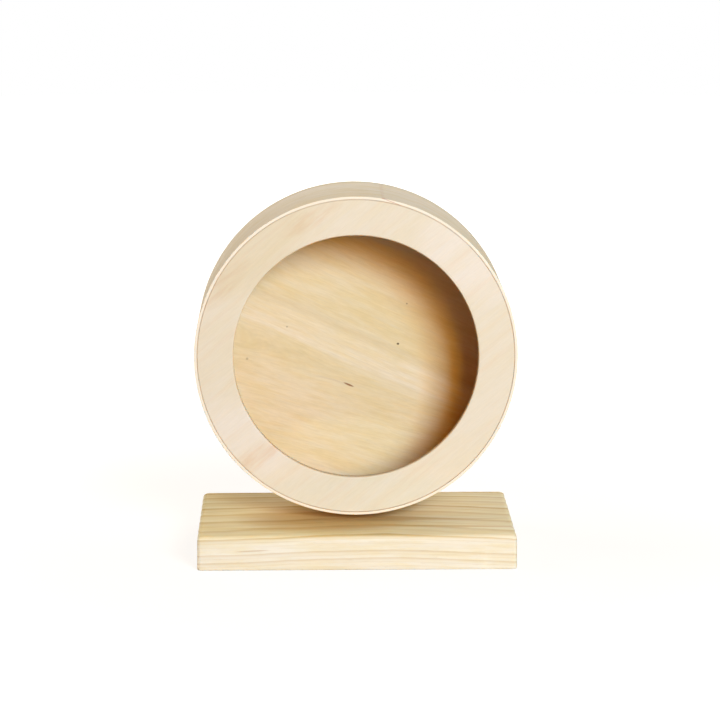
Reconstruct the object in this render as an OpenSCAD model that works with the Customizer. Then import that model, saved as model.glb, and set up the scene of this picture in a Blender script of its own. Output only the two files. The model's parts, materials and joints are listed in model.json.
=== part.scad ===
// Rodent exercise wheel: an open-fronted wooden drum that turns on a cantilevered axle.
// The stand is a solid board with a round-topped post screwed to its rear edge.
// Two ball bearings in the post carry the axle, and the drum hides everything behind it.
// +Z is up, the open side of the drum faces -Y, and the origin is the centre of the board's underside.
// All sizes are in millimetres.

/* [Drum] */
// Diameter over the outside of the bent band
wheel_d = 200; // [160:1:290]
// Depth of the drum, from its front edge to its rear edge
drum_depth = 74; // [60:1:95]
// Thickness of the bent band that the animal runs on
band_t = 1.8; // [1.5:0.1:3]
// Bevel on the band's front and rear edges
band_bevel = 0.3; // [0.1:0.05:0.7]
// Thickness of the front ring
ring_t = 5; // [3:0.5:8]
// Width of the front ring, from the band to the mouth
ring_w = 22.4; // [12:0.1:40]
// How far the front ring sits behind the band's front edge
ring_inset = 0.3; // [0.1:0.1:1]
// Rounding of the mouth's front and rear edges
mouth_round = 1; // [0.5:0.1:1.4]
// Thickness of the back disc
back_t = 5; // [3:0.5:8]
// Bevel on the rims of the ring and the disc, where they meet the band
rim_bevel = 0.3; // [0.1:0.1:0.8]
// Where the band's glued seam lies, in degrees up from the right-hand side
seam_angle = 77; // [0:1:359]
// Length of the seam's slanted scarf along the band
seam_length = 12; // [6:1:14]
// Width of the open line at the seam
seam_gap = 0.2; // [0.1:0.05:0.4]

/* [Hub and axle] */
// Diameter of the hub block behind the back disc
hub_d = 64; // [40:1:90]
// Thickness of the hub block
hub_t = 9; // [7:0.5:14]
// Rounding of the hub block's rear edge
hub_round = 1.5; // [0.5:0.1:3]
// Width across the flats of the bolt's head and of the nut
hex_af = 13; // [12:0.5:16]
// Height of the bolt's head
bolt_head_h = 5.3; // [4:0.1:6.3]
// Outside diameter of the washers and of the spacer between the bearings
washer_d = 11.5; // [10:0.1:12]
// Thickness of the washer under the nut
nut_washer_t = 1; // [0.5:0.1:2]
// Height of the nut's hexagon
nut_hex_h = 6.5; // [5:0.1:8]
// Diameter of the nut's dome
nut_dome_d = 12.5; // [11:0.1:12.9]
// Height of the nut from its seat to the top of its dome
nut_h = 15; // [14.5:0.1:18]
// Depth of the nut's blind hole
nut_hole_depth = 11; // [8:0.5:12]

/* [Bearings] */
// Bore of both ball bearings, which the axle bolt fills
bearing_bore = 8; // [7:0.1:8.4]
// Outside diameter of both ball bearings
bearing_od = 22; // [21:0.5:26]
// Width of both ball bearings
bearing_w = 7; // [6.5:0.1:8]
// Diameter of the balls
ball_d = 3.97; // [3:0.01:4.1]
// Number of balls in each bearing
ball_count = 7; // [5:1:8]
// Thickness of the bearing shields
shield_t = 0.35; // [0.2:0.05:0.5]

/* [Stand] */
// Length of the base board, from left to right
base_w = 196; // [140:1:300]
// Depth of the base board, from front to back
base_d = 116; // [100:1:180]
// Thickness of the base board
base_t = 21.5; // [15:0.5:30]
// Rounding of the base board's upper edges
base_round = 3.3; // [1:0.1:5]
// Rounding of the base board's upright corners
base_corner = 1.5; // [0.5:0.5:5]
// Rounding of the base board's lower edges
base_foot_round = 1; // [0.5:0.1:2]
// Gap between the drum and the top of the base board
floor_gap = 3.5; // [2:0.5:12]
// Gap between the drum and the post, which is also the thickness of the washer there
drum_gap = 3; // [2:0.5:8]
// Width of the post
post_w = 80; // [60:1:110]
// Thickness of the post
post_t = 20; // [18:0.5:30]
// Rounding of the post's rear edges
post_round = 3; // [1:0.1:4.5]
// Rounding of the post's front edges
post_front_round = 1; // [0.5:0.1:3]
// Diameter of the passage between the two bearing seats
passage_d = 17; // [13.5:0.5:19]

/* [Post screws] */
// Distance between the two screws
screw_spacing = 44; // [20:1:50]
// Diameter of the screws
screw_d = 4; // [3:0.1:5]
// Diameter of the countersunk heads
screw_head_d = 8; // [7:0.1:9.5]
// Length of the screws
screw_length = 45; // [35:1:60]

/* [Hidden] */
$fn = 96;
// Radial clearance between glued or pressed pieces, and between pieces that roll in each other
fit = 0.04;
running_gap = 0.08;
// How far cutting shapes reach past the faces that they cut
over = 1;

wheel_r = wheel_d / 2;
band_inner_r = wheel_r - band_t;
disc_r = band_inner_r - fit;
mouth_r = band_inner_r - ring_w;
// The scarf runs straight from the band's outer face to its inner face, across this half angle
seam_half_angle = 90 * seam_length / (PI * wheel_r);

// The pocket in the hub block is a little deeper than the bolt's head
pocket_depth = bolt_head_h + 0.2;

// Places along the axle, from the post outwards
axle_z = base_t + floor_gap + wheel_r;
post_front_y = base_d / 2;
post_rear_y = post_front_y + post_t;
drum_rear_y = post_front_y - drum_gap;
drum_front_y = drum_rear_y - drum_depth;
ring_front_y = drum_front_y + ring_inset;
hub_front_y = drum_rear_y - hub_t;
back_front_y = hub_front_y - back_t;
front_bearing_y = post_front_y + bearing_w / 2;
rear_bearing_y = post_rear_y - bearing_w / 2;
nut_seat_y = post_rear_y + nut_washer_t;
bolt_seat_y = hub_front_y + pocket_depth;
// The bolt ends short of the bottom of the nut's hole
bolt_tip_y = nut_seat_y + nut_hole_depth - 1;

bolt_d = bearing_bore - 2 * fit;
bolt_tip_chamfer = 0.8;
hex_corner_r = hex_af / 2 / cos(30);
hex_chamfer_h = 0.12 * hex_af;

// Bearing proportions: the balls run midway between the bore and the outside
pitch_r = (bearing_bore + bearing_od) / 4;
ball_r = ball_d / 2;
groove_r = ball_r + running_gap;
inner_shoulder_r = pitch_r - 0.37 * ball_d;
outer_shoulder_r = pitch_r + 0.42 * ball_d;
race_chamfer = 0.4;
// Each shield is held in a step of the outer race, and stays clear of the inner one
shield_seat_r = outer_shoulder_r + 0.5;
shield_inner_r = inner_shoulder_r + 0.25;
shield_recess = 0.3;
shield_z = bearing_w / 2 - shield_recess - shield_t;
// The cage is a crown: its fingers reach between the balls from a ring behind them, near the shield
cage_inner_r = pitch_r - 0.6;
cage_outer_r = pitch_r + 0.6;
cage_open_z = -0.6 * ball_r;
cage_ring_z = shield_z - 0.2;
cage_pocket_r = ball_r + 0.1;

screw_places = [-screw_spacing / 2, screw_spacing / 2];
screw_z = base_t / 2;
screw_head_h = (screw_head_d - screw_d) / 2;
screw_point_h = 1.5 * screw_d;
// How far the screws' heads lie below the post's face
screw_sink = 0.3;
recess_w = 0.22 * screw_d;
recess_span = 1.05 * screw_d;
recess_depth = 0.4 * screw_d;

wood_pine = [0.93, 0.83, 0.62];
wood_ring = [0.93, 0.86, 0.76];
wood_back = [0.91, 0.80, 0.62];
wood_band = [0.86, 0.79, 0.68];
bright_steel = [0.75, 0.76, 0.78];
zinc_steel = [0.70, 0.71, 0.72];
cage_nylon = [0.90, 0.88, 0.80];

// Lays what is drawn round +Z along the axle, with its z = 0 at the given y and +Z towards the rear
module on_axle(y) {
    translate([0, y, axle_z])
        rotate([-90, 0, 0])
            children();
}

// Upright rectangle, centred on x, with one radius on its two low corners and one on its two high ones
module rounded_rect(w, h, low_r, high_r) {
    translate([-w / 2, low_r])
        square([w, h - low_r - high_r]);
    translate([low_r - w / 2, 0])
        square([w - 2 * low_r, h / 2]);
    translate([high_r - w / 2, h / 2])
        square([w - 2 * high_r, h / 2]);
    for (side = [-1, 1]) {
        translate([side * (w / 2 - low_r), low_r])
            circle(low_r);
        translate([side * (w / 2 - high_r), h - high_r])
            circle(high_r);
    }
}

// Hexagonal prism with the corners of its top turned off
module turned_hexagon(h) {
    intersection() {
        cylinder(h = h, r = hex_corner_r, $fn = 6);
        union() {
            cylinder(h = h - hex_chamfer_h, r = hex_corner_r + over);
            translate([0, 0, h - hex_chamfer_h])
                cylinder(h = hex_chamfer_h, r1 = 1.02 * hex_corner_r, r2 = 0.82 * hex_corner_r);
        }
    }
}

// Washer or spacer that fits on the bolt
module sleeve(h) {
    difference() {
        cylinder(h = h, d = washer_d);
        translate([0, 0, -over])
            cylinder(h = h + 2 * over, d = bolt_d + 2 * fit);
    }
}

// Holes through the post and into the board for the two screws, with room for their heads
module screw_holes() {
    head_r = screw_head_d / 2 + fit;
    shank_r = screw_d / 2 + fit;
    for (x = screw_places)
        translate([x, post_rear_y - screw_sink, screw_z])
            rotate([90, 0, 0]) {
                translate([0, 0, -screw_sink - over])
                    cylinder(h = screw_sink + over, r = head_r);
                cylinder(h = screw_head_h, r1 = head_r, r2 = shank_r);
                cylinder(h = screw_length + fit, r = shank_r);
            }
}

// Solid board: every edge is rounded, and the two screws enter its rear edge
module base_board() {
    color(wood_pine)
        difference() {
            intersection() {
                translate([0, base_d / 2, 0])
                    rotate([90, 0, 0])
                        linear_extrude(base_d)
                            rounded_rect(base_w, base_t, base_foot_round, base_round);
                translate([-base_w / 2, 0, 0])
                    rotate([90, 0, 90])
                        linear_extrude(base_w)
                            rounded_rect(base_d, base_t, base_foot_round, base_round);
                translate([0, -base_d / 2, 0])
                    linear_extrude(base_t)
                        rounded_rect(base_w, base_d, base_corner, base_corner);
            }
            screw_holes();
        }
}

// The post's plan, with its front face along y = 0
module post_plan() {
    rounded_rect(post_w, post_t, post_front_round, post_round);
}

// Upright board behind the drum: its round top is centred on the axle, and it holds both bearings
module rear_post() {
    color(wood_pine)
        difference() {
            union() {
                translate([0, post_front_y, 0])
                    linear_extrude(axle_z)
                        post_plan();
                on_axle(post_front_y)
                    rotate_extrude()
                        intersection() {
                            post_plan();
                            square([post_w, post_t]);
                        }
            }
            on_axle(post_front_y) {
                translate([0, 0, -over])
                    cylinder(h = bearing_w + over, d = bearing_od + 2 * fit);
                cylinder(h = post_t, d = passage_d);
                translate([0, 0, post_t - bearing_w])
                    cylinder(h = bearing_w + over, d = bearing_od + 2 * fit);
            }
            screw_holes();
        }
}

// Countersunk screw with a cross recess: its head's face is at z = 0 and its point towards +Z
module wood_screw() {
    difference() {
        union() {
            cylinder(h = screw_head_h, d1 = screw_head_d, d2 = screw_d);
            cylinder(h = screw_length - screw_point_h, d = screw_d);
            translate([0, 0, screw_length - screw_point_h])
                cylinder(h = screw_point_h, d1 = screw_d, d2 = 0.1 * screw_d);
        }
        for (turn = [0, 90])
            rotate([0, 0, turn])
                cube([recess_span, recess_w, 2 * recess_depth], center = true);
    }
}

// The two screws that hold the post to the board's rear edge
module post_screws() {
    color(zinc_steel)
        for (x = screw_places)
            translate([x, post_rear_y - screw_sink, screw_z])
                rotate([90, 0, 0])
                    wood_screw();
}

// The groove that the balls run in
module ball_groove() {
    translate([pitch_r, 0])
        circle(groove_r);
}

// Inner race, centred on z = 0
module inner_race() {
    bore_r = bearing_bore / 2;
    half_w = bearing_w / 2;
    rotate_extrude()
        difference() {
            polygon([[bore_r, race_chamfer - half_w], [bore_r + race_chamfer, -half_w],
                     [inner_shoulder_r, -half_w], [inner_shoulder_r, half_w],
                     [bore_r + race_chamfer, half_w], [bore_r, half_w - race_chamfer]]);
            ball_groove();
        }
}

// Outer race, centred on z = 0, with a step at each face for a shield
module outer_race() {
    outer_r = bearing_od / 2;
    half_w = bearing_w / 2;
    rotate_extrude()
        difference() {
            polygon([[shield_seat_r, -half_w], [outer_r - race_chamfer, -half_w],
                     [outer_r, race_chamfer - half_w], [outer_r, half_w - race_chamfer],
                     [outer_r - race_chamfer, half_w], [shield_seat_r, half_w],
                     [shield_seat_r, shield_z], [outer_shoulder_r, shield_z],
                     [outer_shoulder_r, -shield_z], [shield_seat_r, -shield_z]]);
            ball_groove();
        }
}

// Sets its child at each ball's place in a bearing
module at_each_ball() {
    for (i = [0 : ball_count - 1])
        rotate([0, 0, i * 360 / ball_count])
            translate([pitch_r, 0, 0])
                children();
}

// The loose balls of one bearing
module balls() {
    at_each_ball()
        sphere(ball_r);
}

// Crown cage of one bearing, with a finger between each two balls
module ball_cage() {
    difference() {
        rotate_extrude()
            translate([cage_inner_r, cage_open_z])
                square([cage_outer_r - cage_inner_r, cage_ring_z - cage_open_z]);
        at_each_ball()
            sphere(cage_pocket_r);
    }
}

// The two thin shields that close one bearing's faces
module shields() {
    for (side = [0, 1])
        mirror([0, 0, side])
            translate([0, 0, shield_z])
                difference() {
                    cylinder(h = shield_t, r = shield_seat_r - fit);
                    translate([0, 0, -over])
                        cylinder(h = shield_t + 2 * over, r = shield_inner_r);
                }
}

// Places a piece of the front bearing, in the post's front face
module in_front_bearing() {
    on_axle(front_bearing_y)
        children();
}

// Places a piece of the rear bearing, in the post's rear face, turned round from the front one
module in_rear_bearing() {
    on_axle(rear_bearing_y)
        mirror([0, 0, 1])
            children();
}

module front_outer_race() {
    color(bright_steel)
        in_front_bearing()
            outer_race();
}

module front_inner_race() {
    color(bright_steel)
        in_front_bearing()
            inner_race();
}

module front_balls() {
    color(bright_steel)
        in_front_bearing()
            balls();
}

module front_ball_cage() {
    color(cage_nylon)
        in_front_bearing()
            ball_cage();
}

module front_shields() {
    color(zinc_steel)
        in_front_bearing()
            shields();
}

module rear_outer_race() {
    color(bright_steel)
        in_rear_bearing()
            outer_race();
}

module rear_inner_race() {
    color(bright_steel)
        in_rear_bearing()
            inner_race();
}

module rear_balls() {
    color(bright_steel)
        in_rear_bearing()
            balls();
}

module rear_ball_cage() {
    color(cage_nylon)
        in_rear_bearing()
            ball_cage();
}

module rear_shields() {
    color(zinc_steel)
        in_rear_bearing()
            shields();
}

// Hexagon bolt that turns with the wheel: the hub block keeps its head, and the back disc hides it
module axle_bolt() {
    shank_l = bolt_tip_y - bolt_seat_y;
    color(zinc_steel)
        on_axle(bolt_seat_y) {
            mirror([0, 0, 1])
                turned_hexagon(bolt_head_h);
            cylinder(h = shank_l - bolt_tip_chamfer, d = bolt_d);
            translate([0, 0, shank_l - bolt_tip_chamfer])
                cylinder(h = bolt_tip_chamfer, d1 = bolt_d, d2 = bolt_d - 2 * bolt_tip_chamfer);
        }
}

// Thick washer that keeps the hub block off the post and bears on the front inner race alone
module hub_washer() {
    color(zinc_steel)
        on_axle(drum_rear_y)
            sleeve(drum_gap);
}

// Sleeve between the inner races of the two bearings
module race_spacer() {
    color(zinc_steel)
        on_axle(post_front_y + bearing_w)
            sleeve(post_t - 2 * bearing_w);
}

// Washer between the rear inner race and the nut
module nut_washer() {
    color(zinc_steel)
        on_axle(post_rear_y)
            sleeve(nut_washer_t);
}

// Domed nut that holds the wheel on its post
module dome_nut() {
    dome_r = nut_dome_d / 2;
    color(bright_steel)
        on_axle(nut_seat_y)
            difference() {
                union() {
                    turned_hexagon(nut_hex_h);
                    cylinder(h = nut_h - dome_r, r = dome_r);
                    translate([0, 0, nut_h - dome_r])
                        sphere(dome_r);
                }
                translate([0, 0, -over])
                    cylinder(h = nut_hole_depth + over, d = bolt_d + 2 * fit);
            }
}

// Wooden disc glued behind the back disc, with the pocket that keeps the bolt's head from turning
module hub_block() {
    hub_r = hub_d / 2;
    color(wood_ring)
        on_axle(hub_front_y)
            difference() {
                rotate_extrude() {
                    square([hub_r, hub_t - hub_round]);
                    square([hub_r - hub_round, hub_t]);
                    translate([hub_r - hub_round, hub_t - hub_round])
                        circle(hub_round);
                }
                translate([0, 0, -over])
                    cylinder(h = pocket_depth + over, r = hex_corner_r + fit, $fn = 6);
                cylinder(h = hub_t + over, d = bolt_d + 2 * fit);
            }
}

// Plywood disc that closes the drum
module back_disc() {
    color(wood_back)
        on_axle(back_front_y)
            rotate_extrude()
                polygon([[0, 0], [disc_r - rim_bevel, 0], [disc_r, rim_bevel],
                         [disc_r, back_t - rim_bevel], [disc_r - rim_bevel, back_t], [0, back_t]]);
}

// Band of thin flexible plywood, bent round the ring and the disc and glued where its ends overlap
module rim_band() {
    mid_r = wheel_r - band_t / 2;
    slope = atan(band_t / (2 * mid_r * tan(seam_half_angle)));
    color(wood_band)
        on_axle(drum_front_y)
            difference() {
                rotate_extrude()
                    polygon([[band_inner_r + band_bevel, 0], [wheel_r - band_bevel, 0],
                             [wheel_r, band_bevel], [wheel_r, drum_depth - band_bevel],
                             [wheel_r - band_bevel, drum_depth], [band_inner_r + band_bevel, drum_depth],
                             [band_inner_r, drum_depth - band_bevel], [band_inner_r, band_bevel]]);
                rotate([0, 0, -seam_angle])
                    translate([mid_r * cos(seam_half_angle), 0, drum_depth / 2])
                        rotate([0, 0, slope])
                            cube([seam_gap, 1.5 * seam_length, drum_depth + 2 * over], center = true);
            }
}

// Plywood ring at the front, with the eased mouth that the animal climbs through
module front_ring() {
    color(wood_ring)
        on_axle(ring_front_y)
            rotate_extrude() {
                polygon([[mouth_r + mouth_round, 0], [disc_r - rim_bevel, 0], [disc_r, rim_bevel],
                         [disc_r, ring_t - rim_bevel], [disc_r - rim_bevel, ring_t],
                         [mouth_r + mouth_round, ring_t]]);
                translate([mouth_r, mouth_round])
                    square([2 * mouth_round, ring_t - 2 * mouth_round]);
                for (z = [mouth_round, ring_t - mouth_round])
                    translate([mouth_r + mouth_round, z])
                        circle(mouth_round);
            }
}

base_board();
rear_post();
post_screws();
front_outer_race();
front_inner_race();
front_balls();
front_ball_cage();
front_shields();
rear_outer_race();
rear_inner_race();
rear_balls();
rear_ball_cage();
rear_shields();
axle_bolt();
hub_washer();
race_spacer();
nut_washer();
dome_nut();
hub_block();
back_disc();
rim_band();
front_ring();
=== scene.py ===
"""A small animal's running wheel in bare wood, dressed for the camera round its measured frame."""

import json
import math

import bmesh
import bpy
from mathutils import Matrix, Vector


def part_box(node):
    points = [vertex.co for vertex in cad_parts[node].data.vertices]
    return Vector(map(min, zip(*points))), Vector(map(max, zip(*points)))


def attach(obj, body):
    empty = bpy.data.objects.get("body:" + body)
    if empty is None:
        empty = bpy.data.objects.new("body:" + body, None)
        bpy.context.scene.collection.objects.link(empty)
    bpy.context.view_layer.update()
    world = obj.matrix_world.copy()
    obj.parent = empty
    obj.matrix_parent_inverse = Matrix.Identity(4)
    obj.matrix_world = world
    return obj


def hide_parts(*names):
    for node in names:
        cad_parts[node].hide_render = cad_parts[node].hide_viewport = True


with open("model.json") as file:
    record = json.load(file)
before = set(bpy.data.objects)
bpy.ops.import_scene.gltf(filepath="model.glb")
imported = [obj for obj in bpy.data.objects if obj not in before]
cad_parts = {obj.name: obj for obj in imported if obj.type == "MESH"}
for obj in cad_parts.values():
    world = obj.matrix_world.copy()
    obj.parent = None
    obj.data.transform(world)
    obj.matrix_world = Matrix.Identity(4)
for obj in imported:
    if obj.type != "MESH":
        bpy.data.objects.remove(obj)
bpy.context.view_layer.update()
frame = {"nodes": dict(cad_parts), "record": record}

MM = 0.001
WHITE = (1.0, 1.0, 1.0)


# Sizes and places, from the frame, in metres

band_low, band_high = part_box("rim_band")
ring_low, ring_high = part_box("front_ring")
disc_low, disc_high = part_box("back_disc")
hub_low, hub_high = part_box("hub_block")
bolt_low, bolt_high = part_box("axle_bolt")
base_low, base_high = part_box("base_board")
post_low, post_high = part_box("rear_post")

axle_z = post_high.z - post_high.x
wheel_r = band_high.x
disc_r = disc_high.x
mouth_r = 75.8 * MM
mouth_round = 1.0 * MM
rim_bevel = 0.3 * MM
hub_round = 1.5 * MM
hub_front_round = 0.2 * MM

band_t = 1.8 * MM
band_depth = band_high.y - band_low.y
band_middle_r = wheel_r - band_t / 2
band_length = 2 * math.pi * band_middle_r
band_bevel = 0.3 * MM
seam_angle = math.radians(77.0)
seam_length = 12.0 * MM
seam_gap = 0.2 * MM
seam_slant_reach = 0.06

base_round = 3.3 * MM
base_corner = 2.4 * MM
base_foot_round = 0.6 * MM
post_round = 3.0 * MM
post_front_round = 1.0 * MM
passage_r = 8.5 * MM

fit = 0.04 * MM
over = 1.0 * MM
thread_r = 4.0 * MM - fit
thread_pitch = 1.25 * MM
thread_length = 22.0 * MM
thread_depth = 0.65 * MM
hex_flat = 6.5 * MM
hex_corner = hex_flat / math.cos(math.radians(30.0))
hex_top_r = 0.82 * hex_corner
hex_slope = 1.56 * MM / (0.20 * hex_corner)
pocket_depth = 5.5 * MM
nut_hole_depth = 11.0 * MM
nut_hex_h = 6.5 * MM
dome_r = 6.25 * MM

ball_count = 7
ball_r = 1.985 * MM
pitch_r = 7.5 * MM
groove_r = ball_r + 0.08 * MM
race_w = 7.0 * MM
outer_race_r = 11.0 * MM
bore_r = 4.0 * MM
inner_shoulder_r = 6.031 * MM
outer_shoulder_r = 9.167 * MM
shield_seat_r = outer_shoulder_r + 0.5 * MM
shield_z = 2.85 * MM
shield_t = 0.14 * MM

screw_r = 2.0 * MM
screw_head_r = 4.0 * MM
screw_core_r = 1.35 * MM
screw_length = 45.0 * MM
screw_pitch = 1.8 * MM
screw_point = 6.0 * MM
screw_x = 22.0 * MM
screw_z = (base_low.z + base_high.z) / 2
screw_face_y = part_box("post_screws")[1].y


# Nodes

class Value:
    """A number or a colour that nodes work out. Numbers add and multiply as plain ones do."""

    def __init__(self, tree, socket):
        self.tree = tree
        self.socket = socket

    def __add__(self, other):
        return self.tree.math("ADD", self, other)

    def __sub__(self, other):
        return self.tree.math("SUBTRACT", self, other)

    def __rsub__(self, other):
        return self.tree.math("SUBTRACT", other, self)

    def __mul__(self, other):
        return self.tree.math("MULTIPLY", self, other)

    def __truediv__(self, other):
        return self.tree.math("DIVIDE", self, other)


class Tree:
    """A node tree in the making."""

    def __init__(self, tree):
        self.nodes = tree.nodes
        self.links = tree.links

    def put(self, socket, value):
        """Sets a socket to a plain value, or joins it to another node's output."""
        if isinstance(value, Value):
            value = value.socket
        if isinstance(value, bpy.types.NodeSocket):
            self.links.new(value, socket)
        else:
            socket.default_value = value

    def node(self, kind, settings=None, **values):
        """Adds a node. Its inputs are named with underscores for spaces."""
        made = self.nodes.new(kind)
        for key, value in (settings or {}).items():
            setattr(made, key, value)
        for name, value in values.items():
            self.put(made.inputs[name.replace("_", " ")], value)
        return made

    def result(self, kind, settings, *values):
        """Adds a node, fills its inputs in order and gives back its first output."""
        made = self.node(kind, settings)
        for socket, value in zip(made.inputs, values):
            self.put(socket, value)
        return Value(self, made.outputs[0])

    def math(self, operation, *values):
        """What a math node makes of the values."""
        return self.result("ShaderNodeMath", {"operation": operation}, *values)

    def vector(self, x, y, z):
        """Vector from its three parts."""
        return self.result("ShaderNodeCombineXYZ", None, x, y, z)

    def parts(self, vector):
        """The three parts of a vector."""
        made = self.node("ShaderNodeSeparateXYZ", Vector=vector)
        return [Value(self, output) for output in made.outputs]

    def length(self, a, b):
        """Distance of the place (a, b) from the origin."""
        return self.math("SQRT", a * a + b * b)

    def oval(self, a, b, half_a, half_b):
        """0 in the middle of an oval and 1 on its edge, given its half sizes."""
        a = a * (1.0 / half_a)
        b = b * (1.0 / half_b)
        return a * a + b * b

    def strongest(self, *values):
        """The largest of several values."""
        top = values[0]
        for value in values[1:]:
            top = self.math("MAXIMUM", top, value)
        return top

    def rise(self, value, start, end, low=0.0, high=1.0):
        """Goes smoothly from low to high while value goes from start to end."""
        smooth = {"interpolation_type": "SMOOTHSTEP"}
        return self.result("ShaderNodeMapRange", smooth, value, start, end, low, high)

    def hump(self, value, start, peak, end):
        """Goes smoothly from 0 at the start to 1 at the peak and back to 0 at the end."""
        return self.rise(value, start, peak) * self.rise(value, end, peak)

    def between(self, value, low, high, soft):
        """1 while value lies between low and high, with soft edges."""
        return self.rise(value, low - soft, low + soft) * self.rise(value, high + soft, high - soft)


def emptied(owner):
    """Tree of a new material or world, with nothing in it yet."""
    owner.use_nodes = True
    owner.node_tree.nodes.clear()
    return owner.node_tree


class Finish(Tree):
    """A material in the making."""

    def __init__(self, name):
        self.material = bpy.data.materials.new(name)
        super().__init__(emptied(self.material))
        self.shader = self.node("ShaderNodeBsdfPrincipled")
        self.node("ShaderNodeOutputMaterial", Surface=self.shader.outputs["BSDF"])

    def local(self, origin=(0.0, 0.0, 0.0)):
        """Place on the piece in millimetres from an origin given in metres, as three values."""
        place = self.node("ShaderNodeTexCoord").outputs["Object"]
        texture = {"vector_type": "TEXTURE"}
        scaled = self.node("ShaderNodeMapping", texture, Vector=place, Location=origin, Scale=(MM, MM, MM))
        return self.parts(scaled.outputs[0])

    def noise(self, x, y, z, detail=2.0, roughness=0.5):
        """Noise between about 0.2 and 0.8, with one hill for each whole number of its coordinates."""
        place = self.vector(x, y, z)
        made = self.node("ShaderNodeTexNoise", Vector=place, Scale=1.0, Detail=detail, Roughness=roughness)
        return Value(self, made.outputs[0])

    def dice(self, value):
        """An even random number for each whole value."""
        made = self.node("ShaderNodeTexWhiteNoise", {"noise_dimensions": "1D"}, W=value)
        return Value(self, made.outputs["Value"])

    def mix(self, first, second, amount):
        """Colour that goes from first to second."""
        made = self.node("ShaderNodeMix", {"data_type": "RGBA"})
        self.put(made.inputs[0], amount)
        for socket, colour in ((made.inputs[6], first), (made.inputs[7], second)):
            self.put(socket, colour if isinstance(colour, Value) else (*colour, 1.0))
        return Value(self, made.outputs[2])

    def shade(self, colour, amount):
        """Colour made darker or lighter by a factor."""
        made = self.node("ShaderNodeVectorMath", {"operation": "SCALE"}, Scale=amount)
        self.put(made.inputs[0], colour)
        return Value(self, made.outputs[0])

    def tint(self, colour, dye, amount):
        """Colour seen through a dye, as far as amount says."""
        through = self.mix(WHITE, dye, amount)
        return self.result("ShaderNodeVectorMath", {"operation": "MULTIPLY"}, colour, through)

    def relief(self, height, depth):
        """Raises the surface by depth, in metres, where height is 1."""
        bump = self.node("ShaderNodeBump", Strength=1.0, Distance=depth, Height=height)
        self.put(self.shader.inputs["Normal"], bump.outputs[0])

    def done(self, colour, roughness, **uniform):
        """Closes the material. The uniform values go on the shader's own sockets."""
        self.put(self.shader.inputs["Base Color"], colour)
        self.put(self.shader.inputs["Roughness"], roughness)
        for name, value in uniform.items():
            self.shader.inputs[name.replace("_", " ")].default_value = value
        return self.material

    def sanded(self, colour, fibre, roughness, depth):
        """Closes the material of bare veneer, whose fibres stand a little proud."""
        self.relief(fibre, depth)
        return self.done(colour, fibre * 0.12 + roughness, Specular_IOR_Level=WOOD_SHEEN)


# Woods. Colours are linear, and lengths inside the patterns are in millimetres.

PINE_EARLY = (0.975, 0.915, 0.76)
PINE_LATE = (0.68, 0.485, 0.21)
PINE_WARM = (0.96, 0.88, 0.70)
PINE_END = (0.72, 0.56, 0.35)
PINE_BOLD = (0.64, 0.385, 0.14)
# Painted shadow of the drum on the board's top.
PINE_DRUM_SHADOW = (0.60, 0.42, 0.21)
PINE_RESIN = (0.54, 0.31, 0.09)
# Painted shade: the board's top darker and yellower than its front, most towards the left.
PINE_TOP_SHADE = (0.895, 0.785, 0.565)
# Painted shade of the drum on the top's rear left.
PINE_REAR_LEFT_SHADE = (0.80, 0.82, 0.82)
RING_VENEER = (0.83, 0.74, 0.585)
RING_BLUSH = (0.78, 0.61, 0.43)
RING_GOLDEN = (0.96, 0.94, 0.87)
RING_PALE = (1.04, 1.05, 1.12)
RING_FOOT = (0.955, 1.0, 1.03)
DISC_VENEER = (0.785, 0.69, 0.465)
DISC_PALE = (0.84, 0.755, 0.57)
DISC_STREAK = (0.675, 0.545, 0.31)
DISC_PEACH = (0.86, 0.725, 0.52)
# Painted light: the back disc's lower part lighter and cooler.
DISC_FOOT_LIGHT = (1.06, 1.10, 1.11)
BAND_VENEER = (0.78, 0.665, 0.53)
BAND_STREAK = (0.66, 0.53, 0.38)
BAND_INSIDE = (0.68, 0.355, 0.08)
BAND_EDGE = (0.96, 0.86, 0.69)
# Painted shade: the band darker towards its rear edge.
BAND_REAR_SHADE = (0.80, 0.80, 0.80)
SEAM_PINK = (0.62, 0.34, 0.26)
PLY_CROSS = (0.62, 0.45, 0.27)
PLY_GLUE = (0.36, 0.22, 0.11)
KNOT_BROWN = (0.25, 0.085, 0.020)
KNOT_DARK = (0.060, 0.028, 0.012)
WOOD_GOLD = (0.965, 0.92, 0.77)
# Warmer tint on the mouth's rounded edge.
MOUTH_EDGE_WARM = (0.99, 0.89, 0.77)
WOOD_SHEEN = 0.03


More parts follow.
